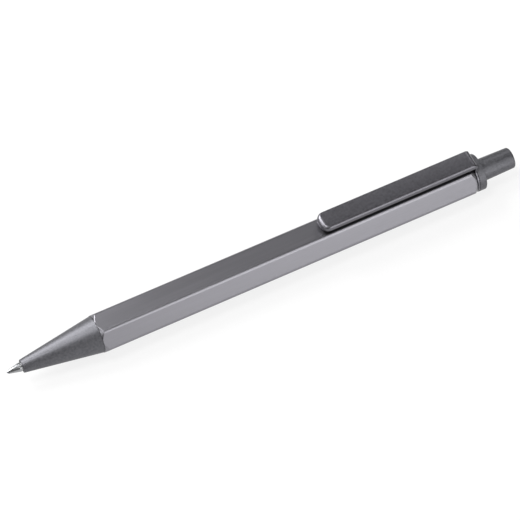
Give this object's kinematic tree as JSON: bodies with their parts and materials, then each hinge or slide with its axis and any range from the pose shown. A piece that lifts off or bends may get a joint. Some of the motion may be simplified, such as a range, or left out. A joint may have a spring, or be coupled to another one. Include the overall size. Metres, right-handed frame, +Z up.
{
  "type": "retractable ballpoint pen",
  "caption": "Slim push-button ballpoint pen with a hexagonal metal barrel, a screw-on nose cone, a sprung pocket clip and a replaceable refill.",
  "frame": {"origin": "on the resting surface, under the middle of the pen's length", "axes": "+X along the pen towards the push button, -X towards the writing point, +Z up through the clip"},
  "size_m": [0.138, 0.0108, 0.0125],
  "materials": {
    "barrel_anodised": "satin dark grey anodised, fine lengthwise grain",
    "dark_lacquer": "satin dark grey",
    "clip_steel": "satin dark grey over spring steel",
    "brass": "turned",
    "point_metal": "bright turned",
    "carbide": "polished ball",
    "refill_steel": "drawn tube",
    "spring_wire": "drawn wire",
    "ink": "thick paste ink",
    "black_plastic": "moulded acetal",
    "white_plastic": "moulded acetal"
  },
  "bodies": {
    "barrel": {"barrel": "barrel_anodised", "front_bush": "brass", "rear_bush": "brass", "mechanism_sleeve": "brass", "cam_sleeve": "white_plastic", "button_bush": "white_plastic", "collar": "dark_lacquer", "clip_plate": "clip_steel"},
    "knock": {"push_button": "dark_lacquer", "plunger": "black_plastic"},
    "rotor": {"rotor": "white_plastic"},
    "refill": {"writing_point": "point_metal", "point_holder": "brass", "refill_tube": "refill_steel", "ink_column": "ink", "refill_plug": "black_plastic"},
    "ball": {"writing_ball": "carbide"},
    "spring": {"refill_spring": "spring_wire"},
    "nose": {"nose_cone": "dark_lacquer"},
    "clip": {"clip_arm": "clip_steel"}
  },
  "joints": [
    {"name": "knock_slide", "type": "slide", "parent": "barrel", "child": "knock", "axis": [1, 0, 0], "range_m": [-0.0012, 0.005]},
    {"name": "rotor_turn", "type": "hinge", "parent": "knock", "child": "rotor", "pos_m": [0, 0, 0.0048], "axis": [1, 0, 0], "range_deg": [-14.4, 60]},
    {"name": "refill_slide", "type": "slide", "parent": "barrel", "child": "refill", "axis": [1, 0, 0], "range_m": [-0.0012, 0.005], "deforming": ["refill_spring"]},
    {"name": "ball_roll", "type": "hinge", "parent": "refill", "child": "ball", "pos_m": [-0.06865, 0, 0.0048], "axis": [0, 1, 0], "continuous": true},
    {"name": "nose_advance", "type": "slide", "parent": "barrel", "child": "spring", "axis": [-1, 0, 0], "range_m": [0, 0.006]},
    {"name": "nose_turn", "type": "hinge", "parent": "spring", "child": "nose", "pos_m": [-0.0651, 0, 0.0048], "axis": [-1, 0, 0], "range_deg": [0, 2880]},
    {"name": "clip_flex", "type": "hinge", "parent": "barrel", "child": "clip", "pos_m": [0.05781, 0, 0.01035], "axis": [0, 1, 0], "range_deg": [0, 3.5], "stiffness_Nm_per_rad": 2}
  ],
  "couplings": [
    {"joint": "refill_slide", "follows": "knock_slide", "ratio": 1},
    {"joint": "rotor_turn", "follows": "knock_slide", "rad_per_m": 209.44},
    {"joint": "nose_turn", "follows": "nose_advance", "rad_per_m": 8377.6}
  ]
}
